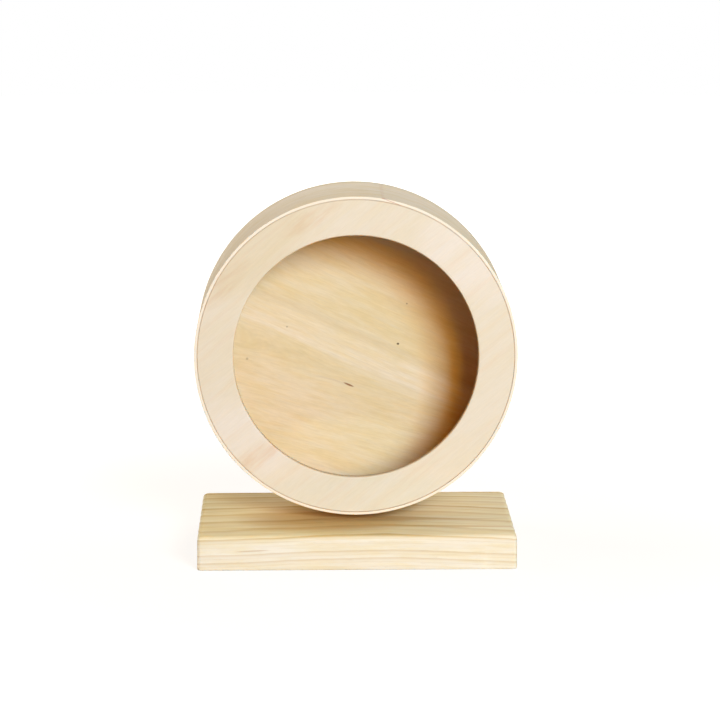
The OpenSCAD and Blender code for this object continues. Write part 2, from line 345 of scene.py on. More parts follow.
def pine(name, order, centre, ring_width, shift, strength, bow=None, marks=None):
    """Solid softwood. Its grain runs along the first axis in order, and its rings lie round centre."""
    f = Finish(name)
    axes = f.local()
    along, across, up = (axes[index] for index in order)
    sway = f.noise(along * 0.010, across * 0.02, up * 0.02)
    lift = f.noise(along * 0.020, across * 0.03, up * 0.03 + 7.3, detail=4.0)
    level = (up + bow(f, along) if bow else up) + (lift - 0.5) * 2.4
    radius = f.length(across - centre[0] + (sway - 0.5) * 5.0, level - centre[1])
    count = radius * (1.0 / ring_width) + shift
    share = f.math("FRACT", count)
    line = f.hump(share, 0.62, 0.90, 1.0)
    broad = f.hump(share, 0.10, 0.90, 1.0)
    faint = f.hump(share, 0.26, 0.40, 0.48)
    late = (line * 0.7 + broad * 0.3 + faint * 0.3) * strength(f, count)

    fibre = f.noise(along * 0.03, across * 1.3, up * 1.3, detail=5.0, roughness=0.62)
    drift = f.noise(along * 0.012, across * 0.06, up * 0.06, detail=3.0)
    canal = f.noise(along * 0.16, across * 3.2, up * 3.2, detail=1.0)
    wood = f.mix(PINE_EARLY, PINE_WARM, f.rise(drift, 0.35, 0.65))
    wood = f.mix(wood, PINE_LATE, late * 0.9)
    wood = f.mix(wood, PINE_RESIN, f.rise(canal, 0.66, 0.74) * 0.15)
    wood = f.shade(wood, (fibre - 0.5) * 0.20 + 1.0)
    wood = gilded(f, wood, along, across + up, seed=91.0, amount=0.9)

    normal = f.parts(f.node("ShaderNodeTexCoord").outputs["Normal"])
    end = f.rise(f.math("ABSOLUTE", normal[order[0]]), 0.80, 1.0)
    pores = f.noise(along * 0.3, across * 5.0, up * 5.0)
    end_wood = f.shade(f.mix(PINE_END, PINE_RESIN, line * 0.8), pores * 0.3 + 0.85)
    wood = f.mix(wood, end_wood, end * 0.8)
    if marks:
        wood = marks(f, wood)

    f.relief(fibre * 0.7 + late * 0.3, 0.06 * MM)
    return f.done(wood, fibre * 0.14 - late * 0.08 + 0.60, Specular_IOR_Level=WOOD_SHEEN)


def board_sweep(f, along):
    """How far the board's growth rings lie below their crest, along its length."""
    crest, bend, slope, tilt = 24.0, 12.0, 0.045, 0.0109
    return (f.length(along - crest, bend) - bend) * slope + along * tilt


def board_rings(f, count):
    """Strength of the board's rings: two clear ones show on its front edge, and bolder ones on its top."""
    first_in_front, last_in_front, first_on_top, soft = 95.0, 97.0, 98.0, 0.02
    each = f.dice(f.math("FLOOR", count))
    front = f.between(count, first_in_front, last_in_front, soft)
    top = f.rise(count, first_on_top, first_on_top + soft)
    return front * 0.34 + top * (each * 0.62 + 0.34) + 0.12


def post_rings(f, count):
    """Strength of the post's rings, which are uneven."""
    return f.dice(f.math("FLOOR", count)) * 0.5 + 0.35


def board_marks(f, wood):
    """Painted shadow of the drum under and in front of it on the board's top, painted shade darker towards
    the top's left and rear left, bold rings on the top, and a streak of resin in front.
    """
    x, y, z = f.local()
    top = f.rise(z, 18.8, 21.3)
    # Painted shadow of the drum on the top, under and in front of it.
    drum_shadow = top * f.rise(f.oval(x + 19.0, y + 16.0, 58.0, 36.0), 1.2, 0.0)
    wood = f.tint(wood, PINE_DRUM_SHADOW, drum_shadow * 0.78)
    # Painted shade: the whole top darker and yellower, most towards the left.
    wood = f.tint(wood, PINE_TOP_SHADE, top * f.rise(x, 90.0, -20.0, 0.60, 1.0))
    # Painted shade of the drum at the top's rear left.
    wood = f.tint(wood, PINE_REAR_LEFT_SHADE, top * f.rise(x, 10.0, -75.0) * f.rise(y, -30.0, 40.0))
    bold = spots(
        f, x, y,
        ((48.0, -34.0), -3.5, 74.0, 2.2, 0.55),
        ((6.0, -30.5), 0.0, 22.0, 1.6, 0.65),
        ((-32.0, -38.0), 2.0, 44.0, 2.6, 0.50),
        ((34.0, -16.0), -1.0, 60.0, 2.4, 0.45),
    )
    wood = f.mix(wood, PINE_BOLD, top * bold)
    streak = spots(f, x, z, ((-64.5, 12.2), 2.4, 10.0, 0.50, 0.42))
    return f.mix(wood, PINE_RESIN, streak * f.rise(y, -57.0, -57.8))


def gilded(f, wood, along, across, seed, amount=1.0):
    """Wood whose yellow comes and goes in soft streaks along its grain."""
    broad = f.noise(along * 0.012, across * 0.09, seed, detail=3.0)
    narrow = f.noise(along * 0.06, across * 0.32, seed + 2.3, detail=4.0, roughness=0.6)
    return f.tint(wood, WOOD_GOLD, f.rise(broad * 0.55 + narrow * 0.45, 0.38, 0.62) * amount)


def veneer(f, along, across, seed, fine, figure):
    """Fibres and a soft figure on a sheet of veneer, as a factor round 1. Also gives the two noises back."""
    fibre = f.noise(along * 0.10, across * 0.85, seed, detail=5.0, roughness=0.65)
    streak = f.noise(along * 0.010, across * 0.22, seed + 3.1, detail=4.0)
    flake = f.noise(along * 0.30, across * 2.6, seed + 5.7)
    tone = (fibre - 0.5) * fine + (streak - 0.5) * figure + (flake - 0.5) * (fine * 0.4) + 1.0
    return tone, fibre, streak


def plies(f, face, depth, thickness, count):
    """Shows the inner plies where depth, from one face, is past the face veneer."""
    across, _, up = f.local()
    layer = depth * (count / thickness)
    ply = f.math("FLOOR", f.math("MINIMUM", layer + 0.001, count - 0.5))
    odd = f.math("GREATER_THAN", f.math("PINGPONG", ply, 1.0), 0.5)
    pores = f.noise(depth * 6.0, across * 1.3, up * 1.3, detail=3.0)
    wood = f.mix(face, f.shade(PLY_CROSS, pores * 0.4 + 0.8), odd * 0.8)
    inside = f.math("GREATER_THAN", layer, 0.5) * f.math("LESS_THAN", layer, count - 0.5)
    glue = f.rise(f.math("PINGPONG", layer, 0.5), 0.09, 0.03) * inside
    return f.mix(wood, PLY_GLUE, glue * 0.55)


def turned_axes(x, z, slant):
    """Places along and across a direction that lies at a slant, in degrees, to x."""
    cosine = math.cos(math.radians(slant))
    sine = math.sin(math.radians(slant))
    return x * cosine + z * sine, z * cosine - x * sine


def spots(f, x, z, *marks):
    """Soft oval marks on a face, each given by its middle, slant, half length, half width and strength."""
    ovals = []
    for (middle_x, middle_z), slant, half_length, half_width, strength in marks:
        along, across = turned_axes(x - middle_x, z - middle_z, slant)
        ovals.append(f.rise(f.oval(along, across, half_length, half_width), 1.6, 0.2) * strength)
    return f.strongest(*ovals)


def ring_ply():
    """Pale plywood with blushes, a glue line at the band and a warm rear face."""
    f = Finish("ring_ply")
    x, y, z = f.local((0.0, ring_low.y, axle_z))
    along, across = turned_axes(x, z, slant=40.0)
    tone, fibre, streak = veneer(f, along, across, seed=11.0, fine=0.12, figure=0.05)
    patches = spots(
        f, x, z,
        ((-60.0, -62.0), 36.0, 24.0, 6.5, 1.0),
        ((-81.0, 45.0), 48.0, 20.0, 6.0, 0.8),
        ((-27.5, 86.0), 29.0, 20.0, 5.5, 0.8),
    )
    broken = f.noise(along * 0.06, across * 0.35, 9.0, detail=4.0)
    blush = patches * f.rise(broken, 0.36, 0.64, 0.15, 0.75) + f.rise(streak, 0.50, 0.70) * 0.25
    wood = f.mix(RING_VENEER, RING_BLUSH, blush)
    for dye, marks in (
        (RING_GOLDEN, [((-62.0, 66.0), 42.0, 42.0, 17.0, 1.0)]),
        (RING_PALE, [((-66.0, -50.0), -35.0, 34.0, 18.0, 1.0), ((66.0, 62.0), -45.0, 34.0, 20.0, 1.0)]),
        (RING_FOOT, [((4.0, -90.0), 0.0, 62.0, 18.0, 1.0)]),
    ):
        wood = f.tint(wood, dye, spots(f, x, z, *marks))
    wood = gilded(f, f.shade(wood, tone), along, across, seed=71.0, amount=0.35)
    radius = f.length(x, z)
    joint = f.rise(radius, disc_r / MM - 0.65, disc_r / MM - 0.25) * f.rise(y, 1.0, 0.2)
    wood = f.mix(wood, PLY_GLUE, joint * 0.28)
    wood = plies(f, wood, y, (ring_high.y - ring_low.y) / MM, count=5)
    # The mouth's rounded edge is tinted warmer.
    wood = f.tint(wood, MOUTH_EDGE_WARM, f.rise(radius, mouth_r / MM + 0.75, mouth_r / MM + 0.25))
    wood = f.mix(wood, f.shade(BAND_INSIDE, tone), f.rise(y, 4.6, 4.9))
    return f.sanded(wood, fibre, 0.60, 0.02 * MM)


def disc_ply():
    """Golden plywood whose figure fans out to the right, with a short split, four specks and painted light on
    its lower part.
    """
    f = Finish("back_ply")
    x, y, z = f.local((0.0, disc_low.y, axle_z))
    slope = f.rise(z + x * 0.37, -32.0, -14.0, 0.28, 0.45)
    level = z + x * slope
    level = level + (f.noise(x * 0.02, level * 0.06, 4.0) - 0.5) * 5.0
    tone, fibre, streak = veneer(f, x, level, seed=23.0, fine=0.24, figure=0.14)
    thin = f.noise(x * 0.014, level * 0.60, 17.0, detail=3.0)
    low_left = f.rise(level, -20.0, -45.0) * f.rise(x, 30.0, -40.0)
    wood = f.mix(DISC_VENEER, DISC_PALE, f.between(level, -16.5, 0.0, 2.6) * 0.95)
    wood = f.mix(wood, DISC_STREAK, f.between(level, 2.0, 6.5, 2.5) * 0.34)
    wood = f.mix(wood, DISC_STREAK, f.rise(streak, 0.55, 0.75) * 0.22)
    wood = f.mix(wood, DISC_STREAK, f.rise(thin, 0.54, 0.68) * 0.12)
    wood = f.mix(wood, DISC_PEACH, low_left * 0.35)
    wood = gilded(f, f.shade(wood, tone), x, level, seed=61.0)
    # Painted light: the disc's lower part made lighter and cooler.
    wood = f.tint(wood, DISC_FOOT_LIGHT, spots(f, x, z, ((-4.0, -66.0), 0.0, 44.0, 16.0, 1.0)))
    split = spots(f, x, z, ((-3.6, -29.2), -23.0, 3.4, 0.62, 0.85), ((-14.0, -26.0), -16.0, 12.0, 0.50, 0.09))
    specks = spots(
        f, x, z,
        ((27.9, -2.7), 0.0, 0.80, 0.70, 0.90),
        ((33.5, 23.3), 0.0, 0.60, 0.55, 0.45),
        ((-68.5, -12.1), 0.0, 0.85, 0.85, 0.30),
        ((-42.9, 8.6), 0.0, 0.60, 0.50, 0.40),
    )
    front = f.rise(y, 2.0, 1.0)
    wood = f.mix(wood, KNOT_BROWN, front * split)
    wood = f.mix(wood, KNOT_DARK, front * specks)
    wood = plies(f, wood, y, (disc_high.y - disc_low.y) / MM, count=5)
    return f.sanded(wood, fibre, 0.62, 0.03 * MM)


def hub_ply():
    """Plywood of seven plies, with the ring's colours."""
    f = Finish("hub_ply")
    x, y, z = f.local((0.0, hub_low.y, axle_z))
    tone, fibre, streak = veneer(f, x, z, seed=31.0, fine=0.20, figure=0.10)
    wood = f.shade(f.mix(RING_VENEER, RING_BLUSH, f.rise(streak, 0.50, 0.72) * 0.4), tone)
    wood = plies(f, wood, y, (hub_high.y - hub_low.y) / MM, count=7)
    return f.sanded(wood, fibre, 0.60, 0.03 * MM)


def band_ply():
    """Bent ply. Its pattern follows the bend: it reads how far round, how deep and how far out a place is."""
    f = Finish("band_ply")
    stored = f.node("ShaderNodeAttribute", {"attribute_name": "run"})
    run, depth, out = f.parts(stored.outputs["Vector"])
    tone, fibre, streak = veneer(f, run, depth, seed=41.0, fine=0.26, figure=0.12)
    wood = f.mix(BAND_VENEER, BAND_STREAK, f.rise(streak, 0.50, 0.72) * 0.6)
    wood = gilded(f, f.shade(wood, tone), run, depth, seed=81.0)
    # Painted shade: the band darker towards its rear edge.
    wood = f.tint(wood, BAND_REAR_SHADE, f.rise(depth, 66.0, 73.5))
    wood = f.mix(wood, f.shade(BAND_INSIDE, tone), f.rise(out, -0.5, -0.7))
    edge = f.strongest(f.rise(depth, 0.35, 0.2), f.rise(depth, 73.6, 73.8))
    wood = f.mix(wood, BAND_EDGE, edge)
    wood = f.mix(wood, PLY_GLUE, edge * f.rise(out, -0.50, -0.80) * 0.40)
    whole = band_length / MM
    seam = f.strongest(f.rise(run, 1.4, 0.5), f.rise(run, whole - 1.4, whole - 0.5))
    wood = f.mix(wood, SEAM_PINK, seam * f.rise(depth, 4.0, 1.0, 0.12, 0.75))
    return f.sanded(wood, fibre, 0.62, 0.03 * MM)


# Metals and nylon

NYLON_PALE = (0.78, 0.74, 0.62)
NYLON_DEEP = (0.70, 0.66, 0.53)


def metal(name, colour, roughness, scratch, turned=True):
    """Metal with fine tool marks: round the axle on turned pieces, and in every direction on the others."""
    f = Finish(name)
    x, y, z = f.local((0.0, 0.0, axle_z))
    if turned:
        marks = f.noise(f.length(x, z) * 14.0, y * 14.0, 1.0, detail=3.0)
    else:
        marks = f.noise(x * 5.0, y * 5.0, z * 5.0, detail=4.0)
    smudge = f.noise(x * 0.5, y * 0.5, z * 0.5, detail=3.0)
    tone = f.shade(colour, smudge * 0.16 + 0.92)
    f.relief(marks, 0.004 * MM)
    return f.done(tone, (marks - 0.5 + smudge - 0.5) * scratch + roughness, Metallic=1.0)


def nylon():
    """Natural nylon with a slight grain."""
    f = Finish("cage_nylon")
    x, y, z = f.local()
    grain = f.noise(x * 2.0, y * 2.0, z * 2.0, detail=3.0)
    tone = f.mix(NYLON_PALE, NYLON_DEEP, f.rise(grain, 0.35, 0.65))
    f.relief(grain, 0.01 * MM)
    return f.done(tone, grain * 0.12 + 0.40, Subsurface_Weight=0.15, Subsurface_Scale=0.001)


materials = {
    "base_pine": pine(
        "base_pine", (0, 1, 2), (-138.0, -438.0), 4.75, 0.47, board_rings, board_sweep, board_marks,
    ),
    "post_pine": pine("post_pine", (2, 0, 1), (18.0, 178.0), 4.1, 0.3, post_rings),
    "ring_ply": ring_ply(),
    "back_ply": disc_ply(),
    "hub_ply": hub_ply(),
    "band_ply": band_ply(),
    "bearing_steel": metal("bearing_steel", (0.54, 0.54, 0.55), 0.22, 0.14),
    "ball_steel": metal("ball_steel", (0.62, 0.62, 0.63), 0.08, 0.05, turned=False),
    "shield_steel": metal("shield_steel", (0.50, 0.51, 0.52), 0.34, 0.12),
    "cage_nylon": nylon(),
    "zinc_steel": metal("zinc_steel", (0.50, 0.52, 0.54), 0.36, 0.18, turned=False),
    "nut_steel": metal("nut_steel", (0.56, 0.56, 0.57), 0.16, 0.08, turned=False),
}

for part in frame["record"]["subparts"]:
    for slot in frame["nodes"][part["node"]].material_slots:
        slot.material = materials[part["material_slot"]]


# Meshes, objects and geometry nodes

def link(name, data):
    """Object with this data, in the scene."""
    item = bpy.data.objects.new(name, data)
    bpy.context.scene.collection.objects.link(item)
    return item


def settled(item):
    """Mesh of an object with its modifier worked in. The object itself goes away."""
    graph = bpy.context.evaluated_depsgraph_get()
    mesh = bpy.data.meshes.new_from_object(item.evaluated_get(graph), depsgraph=graph)
    bpy.data.objects.remove(item)
    return mesh


def crease(mesh, angle=30.0):
    """Smooth shading, with edges sharper than the angle kept."""
    mesh.shade_smooth()
    mesh.set_sharp_from_angle(angle=math.radians(angle))


def mesh_of(shape, name):
    """Mesh from a bmesh, which is then freed."""
    mesh = bpy.data.meshes.new(name)
    shape.to_mesh(mesh)
    shape.free()
    return mesh


def seat(piece, body, slot, *nodes):
    """Rides a finished piece on its body in place of the nodes that it stands for."""
    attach(piece, body)
    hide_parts(*nodes)


class Graph(Tree):
    """A geometry-nodes tree in the making, for one modifier. Its sizes become named inputs."""

    def __init__(self, name, **sizes):
        self.tree = bpy.data.node_groups.new(name, "GeometryNodeTree")
        super().__init__(self.tree)
        interface = self.tree.interface
        interface.new_socket("Geometry", in_out="INPUT", socket_type="NodeSocketGeometry")
        interface.new_socket("Geometry", in_out="OUTPUT", socket_type="NodeSocketGeometry")
        self.sizes = {}
        for size, value in sizes.items():
            kind = "NodeSocketInt" if isinstance(value, int) else "NodeSocketFloat"
            socket = interface.new_socket(size.replace("_", " "), in_out="INPUT", socket_type=kind)
            self.sizes[socket.identifier] = value
        self.entry = self.node("NodeGroupInput")
        self.exit = self.node("NodeGroupOutput")

    def given(self):
        """The named inputs, in the order in which they were declared."""
        return [Value(self, output) for output in self.entry.outputs[1:1 + len(self.sizes)]]

    def step(self, kind, settings=None, **values):
        """Adds a geometry node and gives back its first output."""
        return self.node("GeometryNode" + kind, settings, **values).outputs[0]

    def here(self):
        """The three parts of a point's place."""
        return self.parts(self.step("InputPosition"))

    def finish(self, geometry, slot, middle, turn=0.0):
        """Puts the geometry in its place, realizes what repeats, sets the material and closes the tree."""
        laid = self.step("Transform", Geometry=geometry, Translation=middle, Rotation=(turn, 0.0, 0.0))
        real = self.step("RealizeInstances", Geometry=laid)
        self.put(self.exit.inputs[0], self.step("SetMaterial", Geometry=real, Material=materials[slot]))

    def grow(self, name, start_mesh=None):
        """Runs the tree and gives back its result as a plain mesh object."""
        seed = link(name + "_seed", start_mesh or bpy.data.meshes.new(name + "_start"))
        modifier = seed.modifiers.new(self.tree.name, "NODES")
        modifier.node_group = self.tree
        for identifier, value in self.sizes.items():
            modifier[identifier] = value
        mesh = settled(seed)
        mesh.name = name
        return link(name, mesh)


# The rim band

def bent_band():
    """Thin strip bent to a hoop, whose two ends are cut on a slant and lap each other at the glued seam."""
    g = Graph(
        "bent_band",
        Radius=band_middle_r,
        Thickness=band_t,
        Depth=band_depth,
        Bevel=band_bevel,
        Seam_angle=seam_angle,
        Seam_length=seam_length,
        Seam_gap=seam_gap,
        Reach_of_slant=seam_slant_reach,
    )
    middle_r, thickness, depth, bevel, seam_at, lap_length, gap, slant_reach = g.given()
    gap_angle = gap / middle_r
    hoop = g.step(
        "CurveArc", {"mode": "RADIUS"}, Resolution=480, Radius=middle_r,
        Start_Angle=seam_at + gap_angle / 2.0, Sweep_Angle=2 * math.pi - gap_angle,
    )
    flat = g.step("CurvePrimitiveQuadrilateral", Width=thickness, Height=depth)
    section = g.step("FilletCurve", {"mode": "POLY"}, Curve=flat, Radius=bevel, Count=3)
    marked = g.node("GeometryNodeCaptureAttribute")
    marked.capture_items.new("FLOAT", "Share")
    g.put(marked.inputs["Geometry"], hoop)
    g.put(marked.inputs["Share"], g.step("SplineParameter"))
    share = Value(g, marked.outputs["Share"])
    strip = g.step("CurveToMesh", Curve=marked.outputs["Geometry"], Profile_Curve=section, Fill_Caps=True)
    outward = g.step("FlipFaces", Mesh=strip)
    x, y, z = g.here()
    radius = g.length(x, y)
    out = radius - middle_r
    fade = 1.0 - g.math("MINIMUM", 1.0, g.math("PINGPONG", share, 0.5) / slant_reach)
    lap = lap_length / (thickness * middle_r)
    angle = g.math("ARCTAN2", y, x) + out * lap * fade
    place = g.vector(radius * g.math("COSINE", angle), z, radius * g.math("SINE", angle))
    in_depth = z * (1 / MM) + band_depth / 2 / MM
    run = g.vector(share * (band_length / MM), in_depth, out * (1 / MM))
    on_points = {"data_type": "FLOAT_VECTOR", "domain": "POINT"}
    kept = g.step("StoreNamedAttribute", on_points, Geometry=outward, Name="run", Value=run)
    laid = g.step("SetPosition", Geometry=kept, Position=place)
    g.finish(laid, "band_ply", (0.0, (band_low.y + band_high.y) / 2, axle_z))
    return g.grow("rim_band_bent")


# Turned pieces

MIRROR = Matrix.Scale(-1.0, 4, (0.0, 0.0, 1.0))
QUARTER_TURN = math.radians(90.0)


def face_out(shape):
    """Turns every face of a closed bmesh outwards."""
    bmesh.ops.recalc_face_normals(shape, faces=shape.faces)
    if shape.calc_volume(signed=True) < 0.0:
        bmesh.ops.reverse_faces(shape, faces=shape.faces)


def eased(corners, steps=8):
    """Outline through corners (a, b, radius). Each round corner is an arc with a point to either side."""
    run_up = 0.3
    points = []
    for index, (a, b, radius) in enumerate(corners):
        here = Vector((a, b))
        if radius == 0.0:
            points.append((a, b))
            continue
        back = (Vector(corners[index - 1][:2]) - here).normalized()
        ahead = (Vector(corners[(index + 1) % len(corners)][:2]) - here).normalized()
        half = back.angle(ahead) / 2
        middle = here + (back + ahead).normalized() * (radius / math.sin(half))
        reach = radius / math.tan(half)
        first = here + back * reach - middle
        last = here + ahead * reach - middle
        turn = math.pi - 2 * half
        points.append(tuple(middle + first + back * radius * run_up))
        for step in range(steps + 1):
            share = turn * step / steps
            spoke = (first * math.sin(turn - share) + last * math.sin(share)) / math.sin(turn)
            points.append(tuple(middle + spoke))
        points.append(tuple(middle + last + ahead * radius * run_up))
    return points


def slab(near, far, low, high, rounds, steps=8):
    """Outline of a rectangle whose four corners are rounded, from its near low corner by the far low one."""
    corners = ((near, low), (far, low), (far, high), (near, high))
    return eased([(a, b, radius) for (a, b), radius in zip(corners, rounds)], steps)


def arc(centre_a, centre_b, radius, start, end, steps):
    """Points of an arc between two angles in degrees."""
    angles = [math.radians(start + (end - start) * step / steps) for step in range(steps + 1)]
    return [(centre_a + radius * math.cos(a), centre_b + radius * math.sin(a)) for a in angles]


def at_angle(value, angle):
    """A length that may be a function of the angle."""
    return value(angle) if callable(value) else value


def lathe(outline, around=144, closed=True):
    """Bmesh of an outline (radius, height) turned round +Z. Either may be a function of the angle."""
    shape = bmesh.new()
    rings = []
    for radius, height in outline:
        if radius == 0.0:
            rings.append([shape.verts.new((0.0, 0.0, height))])
            continue
        ring = []
        for step in range(around):
            angle = 2 * math.pi * step / around
            reach = at_angle(radius, angle)
            place = (reach * math.cos(angle), reach * math.sin(angle), at_angle(height, angle))
            ring.append(shape.verts.new(place))
        rings.append(ring)
    pairs = list(zip(rings, rings[1:]))
    if closed:
        pairs.append((rings[-1], rings[0]))
    for lower, upper in pairs:
        for step in range(around):
            corners = []
            for ring, place in ((lower, step), (lower, step + 1), (upper, step + 1), (upper, step)):
                corner = ring[place % len(ring)]
                if corner not in corners:
                    corners.append(corner)
            if len(corners) > 2:
                shape.faces.new(corners)
    face_out(shape)
    return shape


def along_axle(y, turned_round=False):
    """Lays what is turned round +Z along the axle, with its z = 0 at the given y and +Z towards the rear."""
    flip = MIRROR if turned_round else Matrix.Identity(4)
    return Matrix.Translation((0.0, y, axle_z)) @ Matrix.Rotation(-QUARTER_TURN, 4, "X") @ flip


def piece_from(name, shape, material):
    """Object from a finished bmesh, with its faces outwards and its sharp edges kept."""
    face_out(shape)
    mesh = mesh_of(shape, name)
    mesh.materials.append(materials[material])
    crease(mesh)
    return link(name, mesh)


def turned_piece(name, material, body, node, outline, y, turned_round=False, around=144, closed=True):
    """Turned piece on the axle, in place of its node."""
    shape = lathe(outline, around, closed)
    shape.transform(along_axle(y, turned_round))
    seat(piece_from(name, shape, material), body, material, node)


def on_hexagon(angle):
    """Distance from a hexagon's middle to its side at an angle: one corner lies at angle 0."""
    return hex_flat / math.cos((angle % math.radians(60.0)) - math.radians(30.0))


def chamfer_drop(radius):
    """How far under a hexagon's top the cone that turns off its corners lies, at a radius."""
    return hex_slope * (radius - hex_top_r)


# Plywood ring, disc and hub

def turned_ring():
    """Flat ring with a softened mouth."""
    rounds = (mouth_round, rim_bevel, rim_bevel, mouth_round)
    outline = slab(mouth_r, disc_r, 0.0, ring_high.y - ring_low.y, rounds)
    turned_piece("mouth_ring", "ring_ply", "wheel", "front_ring", outline, ring_low.y, around=360)


def turned_disc():
    """Plain disc that closes the drum."""
    outline = slab(0.0, disc_r, 0.0, disc_high.y - disc_low.y, (0.0, rim_bevel, rim_bevel, 0.0))
    turned_piece("drum_back", "back_ply", "wheel", "back_disc", outline, disc_low.y, around=360)


def on_pocket(angle):
    """Distance from the middle of the hub's pocket to its side, a hexagon that the bolt's head fits into."""
    return on_hexagon(angle) * (hex_corner + fit) / hex_corner


def turned_hub():
    """Hub with a pocket for the bolt's head and a hole for its shank."""
    depth = hub_high.y - hub_low.y
    hole_r = thread_r + fit
    outside = slab(0.0, hub_high.x, 0.0, depth, (0.0, hub_front_round, hub_round, 0.0))[1:-1]
    inside = [(hole_r, depth), (hole_r, pocket_depth), (on_pocket, pocket_depth)]
    outline = [(on_pocket, 0.0)] + outside + inside
    turned_piece("hub_boss", "hub_ply", "wheel", "hub_block", outline, hub_low.y, around=240)


# Bearings

def groove(side, shoulder_r):
    """Arc of the ball groove in a race, from its rear edge to its front one. side is 1 in the outer race."""
    half = math.degrees(math.acos(side * (shoulder_r - pitch_r) / groove_r))
    middle = 0.0 if side > 0 else 180.0
    return arc(pitch_r, 0.0, groove_r, middle + side * half, middle - side * half, 16)


def outer_race_outline():
    """Outer race: its groove, and a step at each side that a shield sits in."""
    half_w = race_w / 2
    body = eased([
        (shield_seat_r, -half_w, 0.05 * MM),
        (outer_race_r, -half_w, 0.4 * MM),
        (outer_race_r, half_w, 0.4 * MM),
        (shield_seat_r, half_w, 0.05 * MM),
        (shield_seat_r, shield_z, 0.0),
        (outer_shoulder_r, shield_z, 0.0),
        (outer_shoulder_r, 0.0, 0.0),
    ], steps=5)[:-1]
    return body + groove(1, outer_shoulder_r) + [(outer_shoulder_r, -shield_z), (shield_seat_r, -shield_z)]


def inner_race_outline():
    """Inner race with its groove and its softened bore."""
    rounds = (0.1 * MM, 0.4 * MM, 0.4 * MM, 0.1 * MM)
    body = slab(inner_shoulder_r, bore_r, race_w / 2, -race_w / 2, rounds, steps=5)
    return body + groove(-1, inner_shoulder_r)[::-1]


def pressed_sheet(spine, thickness):
    """Outline of thin sheet that follows a spine of places, with the given thickness."""
    sides = []
    for index, place in enumerate(spine):
        before = Vector(spine[max(0, index - 1)])
        after = Vector(spine[min(len(spine) - 1, index + 1)])
        along = (after - before).normalized()
        aside = Vector((-along.y, along.x)) * thickness / 2
        sides.append((Vector(place) + aside, Vector(place) - aside))
    return [tuple(a) for a, b in sides] + [tuple(b) for a, b in reversed(sides)]


def shield_outline():
    """Pressed steel: a rim that grips the outer race, a sunk web, and a raised lip round the inner race."""
    rim = [(9.52, 2.94), (9.48, 3.03), (9.36, 3.09), (9.15, 3.10), (8.85, 3.09), (8.70, 3.03), (8.60, 2.96)]
    web = [(8.45, 2.94), (7.35, 2.94)]
    lip = [(7.20, 2.96), (7.10, 3.02), (6.95, 3.06), (6.60, 3.06), (6.45, 3.03), (6.39, 2.94)]
    return pressed_sheet([(r * MM, z * MM) for r, z in rim + web + lip], shield_t)


def add_to(shape, other):
    """Adds another bmesh to a shape. The other one is freed."""
    mesh = mesh_of(other, "added")
    shape.from_mesh(mesh)
    bpy.data.meshes.remove(mesh)


def balls_on_circle(name, middle_y):
    """The loose balls of one bearing, each at its place on the pitch circle."""
    g = Graph(name, Balls=ball_count, Ball_radius=ball_r, Pitch_radius=pitch_r)
    balls, radius, circle_r = g.given()
    circle = g.step("MeshCircle", Vertices=balls, Radius=circle_r)
    ball = g.step("SetShadeSmooth", Geometry=g.step("MeshUVSphere", Segments=40, Rings=20, Radius=radius))
    placed = g.step("InstanceOnPoints", Points=circle, Instance=ball)
    g.finish(placed, "ball_steel", (0.0, middle_y, axle_z), -QUARTER_TURN)
    return g.grow(name)


def ball_bearing(side, turned_round):
    """Races, balls and shields of one bearing, in place of their nodes. The cage keeps its own node."""
    low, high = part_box(side + "_outer_race")
    middle = ((low + high) / 2).y
    for end, body, node, outline in (
        ("_race_outside", "stand", "_outer_race", outer_race_outline()),
        ("_race_inside", "wheel", "_inner_race", inner_race_outline()),
    ):
        turned_piece(side + end, "bearing_steel", body, side + node, outline, middle, turned_round)
    shields = lathe(shield_outline())
    opposite = shields.copy()
    opposite.transform(MIRROR)
    add_to(shields, opposite)
    shields.transform(along_axle(middle))
    pair = piece_from(side + "_shield_pair", shields, "shield_steel")
    seat(pair, "stand", "shield_steel", side + "_shields")
    balls = balls_on_circle(side + "_seven_balls", middle)
    seat(balls, side + "_ball_set", "ball_steel", side + "_balls")


# Threads, screws, bolt and nut

def thread_ridge(name, places, core_r, crest_r, pitch, start, end, taper):
    """Tree that winds a ridge round the piece it is given and puts both at each place."""
    thinnest, lowest, flank_share = 0.12, 0.05, 0.4
    g = Graph(name, Core_radius=core_r, Crest_radius=crest_r, Pitch=pitch, Start=start, End=end, Taper=taper)
    core, crest, rise, first, last, drawn_to_point = g.given()
    length = last - first
    radii = {"Start_Radius": core, "End_Radius": core}
    helix = g.step("CurveSpiral", Resolution=40, Rotations=length / rise, Height=length, **radii)
    upright = g.step("SetCurveNormal", {"mode": "Z_UP"}, Curve=helix)
    x, y, z = g.here()
    keep = g.math("MINIMUM", 1.0, (length - z) / g.math("MAXIMUM", drawn_to_point, 0.0001))
    narrow = g.math("MAXIMUM", keep, thinnest)
    place = g.vector(x * narrow, y * narrow, z + first)
    path = g.step("SetPosition", Geometry=upright, Position=place)
    run_in = g.math("MINIMUM", 1.0, z / rise)
    path = g.step("SetCurveRadius", Curve=path, Radius=g.math("MAXIMUM", lowest, run_in * narrow))
    wide = (crest - core) * 2.0
    flank = rise * flank_share
    kite = {"mode": "KITE"}
    section = g.step("CurvePrimitiveQuadrilateral", kite, Width=wide, Bottom_Height=flank, Top_Height=flank)
    joined = g.node("GeometryNodeJoinGeometry")
    g.put(joined.inputs[0], g.step("CurveToMesh", Curve=path, Profile_Curve=section, Fill_Caps=True))
    g.put(joined.inputs[0], g.entry.outputs["Geometry"])
    ends = {"mode": "END_POINTS"}
    row = g.step("MeshLine", ends, Count=len(places), Start_Location=places[0], Offset=places[-1])
    return g, g.step("InstanceOnPoints", Points=row, Instance=joined.outputs[0])


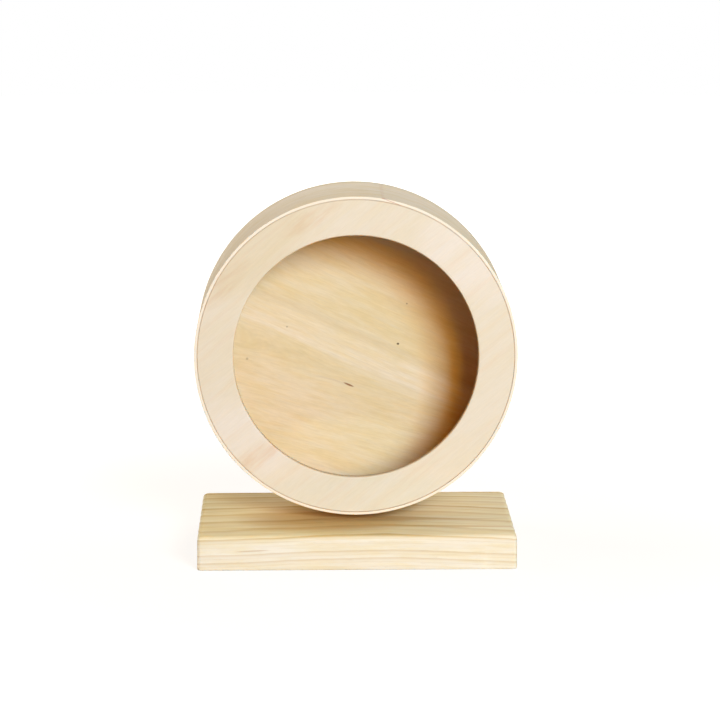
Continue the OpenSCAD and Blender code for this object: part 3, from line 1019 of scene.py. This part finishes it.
def cut_away(name, shape, cutter):
    """Mesh of a bmesh shape less a cutter."""
    whole = link(name, mesh_of(shape, name))
    tool = link(name + "_cutter", mesh_of(cutter, name + "_cutter"))
    cut = whole.modifiers.new("cut", "BOOLEAN")
    cut.operation = "DIFFERENCE"
    cut.solver = "EXACT"
    cut.use_self = True
    cut.object = tool
    mesh = settled(whole)
    bpy.data.objects.remove(tool)
    return mesh


def cross_cutter():
    """Two crossed bars, smaller at their depth, that cut a screw's recess."""
    span, width, depth, above = 4.2 * MM, 0.88 * MM, 1.6 * MM, 0.5 * MM
    shape = bmesh.new()
    for turn in (0.0, 90.0):
        bar = bmesh.ops.create_cube(shape, size=1.0)["verts"]
        for corner in bar:
            deep = corner.co.z > 0.0
            corner.co.x *= span * (0.45 if deep else 1.0)
            corner.co.y *= width * (0.8 if deep else 1.0)
            corner.co.z = depth if deep else -above
        bmesh.ops.rotate(shape, verts=bar, matrix=Matrix.Rotation(math.radians(turn), 3, "Z"))
    face_out(shape)
    return shape


def wood_screws():
    """Two countersunk screws: smooth under their heads, with a coarse thread that draws to a point."""
    cone = screw_head_r - screw_r
    shank_r = screw_core_r + 0.15 * MM
    core = [
        (0.0, 0.0),
        (screw_head_r - 0.25 * MM, 0.0),
        (screw_head_r, 0.2 * MM),
        (screw_r + 0.05 * MM, cone + 0.1 * MM),
        (shank_r, cone + 1.6 * MM),
        (shank_r, 14.0 * MM),
        (screw_core_r, 14.6 * MM),
        (screw_core_r, screw_length - screw_point),
        (0.12 * screw_core_r, screw_length - 0.2 * MM),
        (0.0, screw_length),
    ]
    start = cut_away("screw_core", lathe(core, around=48, closed=False), cross_cutter())
    crease(start, 25.0)
    g, copies = thread_ridge(
        "screw_thread", [(-screw_x, 0.0, 0.0), (screw_x, 0.0, 0.0)], screw_core_r, screw_r - 0.02 * MM,
        screw_pitch, start=15.0 * MM, end=screw_length - 0.4 * MM, taper=screw_point,
    )
    turned = g.step("RotateInstances", Instances=copies, Rotation=(QUARTER_TURN, 0.0, 0.0))
    g.finish(turned, "zinc_steel", (0.0, screw_face_y, screw_z))
    seat(g.grow("wood_screw_pair", start), "stand", "zinc_steel", "post_screws")


def hexagon_bolt():
    """Bolt with a turned hexagon head and a rolled thread on its last stretch."""
    seat_y = hub_low.y + pocket_depth
    head_h = seat_y - bolt_low.y
    length = bolt_high.y - seat_y
    thread_start = length - thread_length
    root_r = thread_r - thread_depth

    def head_corner(angle):
        """Height at which the chamfer meets the head's side."""
        return chamfer_drop(on_hexagon(angle)) - head_h

    outline = [
        (0.0, -head_h),
        (hex_top_r, -head_h),
        (on_hexagon, head_corner),
        (on_hexagon, 0.0),
        (thread_r, 0.0),
        (thread_r, thread_start - 0.3 * MM),
        (root_r, thread_start + 0.4 * MM),
        (root_r, length - 0.6 * MM),
        (root_r - 0.6 * MM, length),
        (0.0, length),
    ]
    start = mesh_of(lathe(outline, around=96, closed=False), "bolt_core")
    crease(start, 25.0)
    g, copies = thread_ridge(
        "bolt_thread", [(0.0, 0.0, 0.0)], root_r, thread_r - 0.01 * MM,
        thread_pitch, start=thread_start + 0.3 * MM, end=length - 0.5 * MM, taper=0.0,
    )
    g.finish(copies, "zinc_steel", (0.0, seat_y, axle_z), -QUARTER_TURN)
    seat(g.grow("hexagon_bolt", start), "wheel", "zinc_steel", "axle_bolt")


def nut_corner(angle):
    """Height at which the chamfer meets the nut's side, at its domed end."""
    return nut_hex_h - chamfer_drop(on_hexagon(angle))


def nut_foot(angle):
    """Height at which the nut's side meets the chamfer round its seat."""
    return 0.12 * MM + 0.5 * (on_hexagon(angle) - hex_flat)


def domed_nut():
    """Closed nut: a hexagon with a dome on it, and a blind hole."""
    low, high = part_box("dome_nut")
    height = high.y - low.y
    hole_r = thread_r + fit
    outline = [
        (0.0, nut_hole_depth),
        (hole_r, nut_hole_depth - 0.8 * MM),
        (hole_r, 0.7 * MM),
        (hole_r + 0.7 * MM, 0.0),
        (hex_flat - 0.25 * MM, 0.0),
        (hex_flat - 0.1 * MM, 0.12 * MM),
        (on_hexagon, nut_foot),
        (on_hexagon, nut_corner),
        (dome_r, nut_hex_h - chamfer_drop(dome_r)),
    ]
    outline += arc(0.0, height - dome_r, dome_r, 0.0, 84.0, 14)
    outline.append((0.0, height))
    turned_piece("domed_nut", "nut_steel", "wheel", "dome_nut", outline, low.y, closed=False)


def sleeve_piece(name, node, edge):
    """Washer or spacer, with its edges turned off."""
    low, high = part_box(node)
    outline = slab(thread_r + fit, high.x, 0.0, high.y - low.y, (edge, edge, edge, edge), steps=4)
    turned_piece(name, "zinc_steel", "wheel", node, outline, low.y)


# Board and post

def stack(loops):
    """Bmesh of equal loops of places joined one to the next, with flat ends."""
    shape = bmesh.new()
    rows = [[shape.verts.new(place) for place in loop] for loop in loops]
    count = len(loops[0])
    for lower, upper in zip(rows, rows[1:]):
        for step in range(count):
            after = (step + 1) % count
            shape.faces.new((lower[step], lower[after], upper[after], upper[step]))
    shape.faces.new(list(reversed(rows[0])))
    shape.faces.new(rows[-1])
    face_out(shape)
    return shape


def wear(place, seed):
    """Slight unevenness of a sanded edge, between 0 and 1."""
    x, y, z = place
    long_wave = math.sin(x * 61.0 + seed)
    short_wave = math.sin(x * 143.0 + y * 97.0 + 2.0 * seed)
    side_wave = math.sin(y * 71.0 + z * 211.0 + 3.0 * seed)
    return 0.5 + (long_wave + short_wave + side_wave) / 6.0


def end_grain_step(x, y, height):
    """How far the soft wood between two rings is worn back at the board's ends, near their top edge."""
    ring_width, deepest = 15.0 * MM, 0.24 * MM
    near_end = min(1.0, max(0.0, (abs(x) - base_high.x + 3.6 * MM) / (0.6 * MM)))
    near_top = min(1.0, max(0.0, (height - 14.0 * MM) / (4.0 * MM)))
    share = (y / ring_width + (0.30 if x > 0.0 else 0.05)) % 1.0
    soft = max(0.0, math.sin(math.pi * share)) ** 2
    return deepest * soft * near_end * near_top * (0.4 + 1.2 * wear((x, y, 0.0), 4.0))


def board_loop(inset, height, softness):
    """Points round the board at one height, inset from its sides, about 2 mm apart."""
    corner = base_corner - 0.1 * inset
    far_x = base_high.x - inset - corner
    far_y = base_high.y - inset - corner
    middles = ((far_x, far_y), (-far_x, far_y), (-far_x, -far_y), (far_x, -far_y))
    starts = (0.0, 90.0, 180.0, 270.0)
    corners = [arc(x, y, corner, start, start + 90.0, 8) for (x, y), start in zip(middles, starts)]
    long_steps, short_steps = 90, 54
    loop = []
    for index, steps in enumerate((long_steps, short_steps, long_steps, short_steps)):
        loop += corners[index]
        first = Vector(corners[index][-1])
        last = Vector(corners[(index + 1) % 4][0])
        loop += [tuple(first.lerp(last, step / steps)) for step in range(1, steps)]
    places = []
    for x, y in loop:
        inward = Vector((-x, -y)).normalized() * softness * wear((x, y, height), 1.7)
        worn = end_grain_step(x, y, height)
        places.append((x + inward.x - math.copysign(worn, x), y + inward.y, height))
    return places


def dent(place):
    """How far a small chip in the front edge's foot pushes a point of the board in, in metres."""
    x, y, z = place
    chip_x, chip_z, half_w, half_h, deepest = 80.0 * MM, 1.4 * MM, 2.6 * MM, 1.5 * MM, 0.7 * MM
    if y > base_low.y + 4.0 * MM:
        return 0.0
    reach = ((x - chip_x) / half_w) ** 2 + ((z - chip_z) / half_h) ** 2
    return deepest * max(0.0, 1.0 - reach)


def planed_board():
    """Board with its upper edges rounded over."""
    rounds = (0.0, base_foot_round, base_round, 0.0)
    profile = slab(0.0, base_high.x, 0.0, base_high.z, rounds, steps=10)[1:-1]
    loops = []
    for reach, height in profile:
        inset = base_high.x - reach
        softness = 0.10 * MM * min(1.0, inset / (1.0 * MM))
        loop = board_loop(inset, height, softness)
        loops.append([(x, y + dent((x, y, z)), z) for x, y, z in loop])
    return stack(loops)


def post_loop(inset, y):
    """Points up one side of the post, over its round top and down the other side, at one depth."""
    half_w = post_high.x - inset
    sides = 24
    top = arc(0.0, axle_z, half_w, 0.0, 180.0, 72)
    up = [(half_w, axle_z * step / sides) for step in range(sides)]
    down = [(-half_w, axle_z * (sides - 1 - step) / sides) for step in range(sides)]
    foot = [(-half_w + 2 * half_w * step / sides, 0.0) for step in range(1, sides)]
    return [(x, y, z) for x, z in up + top + down + foot]


def round_topped_post():
    """Post with softened edges, rounder at its rear."""
    rounds = (0.0, post_front_round, post_round, 0.0)
    profile = slab(0.0, post_high.x, post_low.y, post_high.y, rounds)[1:-1]
    return stack([post_loop(post_high.x - reach, y) for reach, y in profile])


def drill(shape, outline, matrix):
    """Adds the cutter of one round hole to a bmesh."""
    hole = lathe(outline, around=96, closed=False)
    hole.transform(matrix)
    add_to(shape, hole)


def screw_holes():
    """Cutters of the two countersunk screw holes."""
    outline = [
        (0.0, -over),
        (screw_head_r + fit, -over),
        (screw_head_r + fit, 0.0),
        (screw_r + fit, screw_head_r - screw_r),
        (screw_r + fit, screw_length + fit),
        (0.0, screw_length + fit),
    ]
    turn = Matrix.Rotation(QUARTER_TURN, 4, "X")
    holes = bmesh.new()
    for x in (-screw_x, screw_x):
        drill(holes, outline, Matrix.Translation((x, screw_face_y, screw_z)) @ turn)
    return holes


def bearing_bore():
    """Outline of the hole through the post, with a seat for a bearing at each face."""
    seat_r = outer_race_r + fit
    depth = post_high.y - post_low.y
    return [
        (0.0, -over),
        (seat_r, -over),
        (seat_r, race_w),
        (passage_r, race_w),
        (passage_r, depth - race_w),
        (seat_r, depth - race_w),
        (seat_r, depth + over),
        (0.0, depth + over),
    ]


def wooden_stand():
    """The board and the post, drilled for their screws and bearings."""
    post_holes = screw_holes()
    drill(post_holes, bearing_bore(), along_axle(post_low.y))
    for name, slot, node, shape, holes in (
        ("planed_board", "base_pine", "base_board", planed_board(), screw_holes()),
        ("round_topped_post", "post_pine", "rear_post", round_topped_post(), post_holes),
    ):
        mesh = cut_away(name, shape, holes)
        mesh.name = name
        mesh.materials.clear()
        mesh.materials.append(materials[slot])
        crease(mesh)
        seat(link(name, mesh), "stand", slot, node)


band = bent_band()
crease(band.data, 35.0)
seat(band, "wheel", "band_ply", "rim_band")
turned_ring()
turned_disc()
turned_hub()
ball_bearing("front", False)
ball_bearing("rear", True)
wood_screws()
hexagon_bolt()
domed_nut()
for name, node, edge in (
    ("thick_washer", "hub_washer", 0.3 * MM),
    ("spacer_sleeve", "race_spacer", 0.3 * MM),
    ("thin_washer", "nut_washer", 0.2 * MM),
):
    sleeve_piece(name, node, edge)
wooden_stand()


# Stage, light and camera

FLOOR_SIZE = 3.0
FLOOR_SHADE = (0.265, 0.245, 0.22, 1.0)
FLOOR_GLOW = (1.0, 0.99, 0.975, 1.0)
WORLD_LEVEL = 0.008
CAMERA_DISTANCE = 1.7241
CAMERA_AZIMUTH = math.radians(-1.1097)
CAMERA_ELEVATION = math.radians(10.8576)
AIM_AZIMUTH = CAMERA_AZIMUTH - math.radians(0.0817)
AIM_ELEVATION = CAMERA_ELEVATION + math.radians(0.0527)
CAMERA_LENS = 139.63
CAMERA_SENSOR = 36.0


def from_front(azimuth, elevation):
    """Direction from the wheel to something seen at these angles: azimuth 0 is straight in front."""
    flat = math.cos(elevation)
    return Vector((math.sin(azimuth) * flat, -math.cos(azimuth) * flat, math.sin(elevation)))


def is_ray(tree, *kinds):
    """1 for rays of any of these kinds."""
    path = tree.node("ShaderNodeLightPath")
    return tree.strongest(*[Value(tree, path.outputs["Is %s Ray" % kind]) for kind in kinds])


def white_floor():
    """Pale floor that shows white to the camera and to gloss, and keeps the wheel's shadow near it."""
    material = bpy.data.materials.new("white_floor")
    tree = Tree(emptied(material))
    place = tree.node("ShaderNodeTexCoord").outputs["Object"]
    distance = tree.node("ShaderNodeVectorMath", {"operation": "LENGTH"}, Vector=place)
    spread = tree.rise(Value(tree, distance.outputs["Value"]), 0.18, 0.50, 0.83, 1.04)
    strength = spread * is_ray(tree, "Camera", "Glossy", "Transmission")
    lit = tree.node("ShaderNodeBsdfDiffuse", Color=FLOOR_SHADE)
    glow = tree.node("ShaderNodeEmission", Color=FLOOR_GLOW, Strength=strength)
    both = tree.result("ShaderNodeAddShader", None, lit.outputs[0], glow.outputs[0])
    tree.node("ShaderNodeOutputMaterial", Surface=both)
    return material


def lay_floor():
    """Round floor under the wheel."""
    shape = bmesh.new()
    bmesh.ops.create_circle(shape, cap_ends=True, segments=96, radius=FLOOR_SIZE)
    floor = link("floor", mesh_of(shape, "floor"))
    floor.data.materials.append(white_floor())


def face_along(item, direction):
    """Turns a lamp or a camera to look along a direction."""
    item.rotation_mode = "QUATERNION"
    item.rotation_quaternion = direction.to_track_quat("-Z", "Y")


def hang_lamp(name, azimuth, elevation, distance, size, level, colour):
    """Square soft lamp that faces the wheel. Its level is what a white card facing it there sends back."""
    data = bpy.data.lights.new(name, "AREA")
    data.shape = "SQUARE"
    data.size = size
    data.energy = level * math.pi * math.pi * distance * distance
    data.color = colour
    away = from_front(math.radians(azimuth), math.radians(elevation))
    lamp = link(name, data)
    lamp.location = Vector((0.0, 0.0, axle_z)) + away * distance
    face_along(lamp, -away)


def light_world(level):
    """World that shows white to the camera and to gloss, and sheds a level of light."""
    world = bpy.data.worlds.new("white_studio")
    tree = Tree(emptied(world))
    soft, white = (
        tree.node("ShaderNodeBackground", Color=(*WHITE, 1.0), Strength=strength).outputs[0]
        for strength in (level, 1.0)
    )
    choice = tree.result("ShaderNodeMixShader", None, is_ray(tree, "Camera", "Glossy"), soft, white)
    tree.node("ShaderNodeOutputWorld", Surface=choice)
    bpy.context.scene.world = world


def place_camera():
    """Camera at the place and angle from which the photograph was taken."""
    data = bpy.data.cameras.new("camera")
    data.sensor_width = CAMERA_SENSOR
    data.lens = CAMERA_LENS
    data.clip_start = 0.05
    data.clip_end = 50.0
    camera = link("camera", data)
    target = Vector((0.0, band_low.y, axle_z))
    camera.location = target + from_front(CAMERA_AZIMUTH, CAMERA_ELEVATION) * CAMERA_DISTANCE
    face_along(camera, -from_front(AIM_AZIMUTH, AIM_ELEVATION))
    bpy.context.scene.camera = camera


lay_floor()
for lamp in (
    # name, azimuth, elevation, distance, size, level, colour
    ("warm_key_lamp", 17.3, 17.6, 2.4, 0.95, 1.0, (0.84, 0.43, 0.05)),
    ("cool_key_lamp", 22.6, 20.8, 2.4, 0.75, 1.0, (0.16, 0.60, 1.01)),
    ("front_fill_lamp", -5.0, 3.0, 2.4, 1.5, 0.070, (1.0, 0.10, 0.0)),
    ("left_lamp", -105.0, 22.0, 2.2, 1.6, 0.76, (1.0, 1.0, 0.98)),
    ("right_lamp", 130.0, 50.0, 2.2, 1.6, 0.31, (1.0, 0.92, 0.76)),
    ("rear_lamp", 175.0, 8.0, 2.2, 1.0, 0.36, (1.0, 0.92, 0.80)),
):
    hang_lamp(*lamp)
light_world(WORLD_LEVEL)
place_camera()
bpy.context.scene.view_settings.view_transform = "Standard"
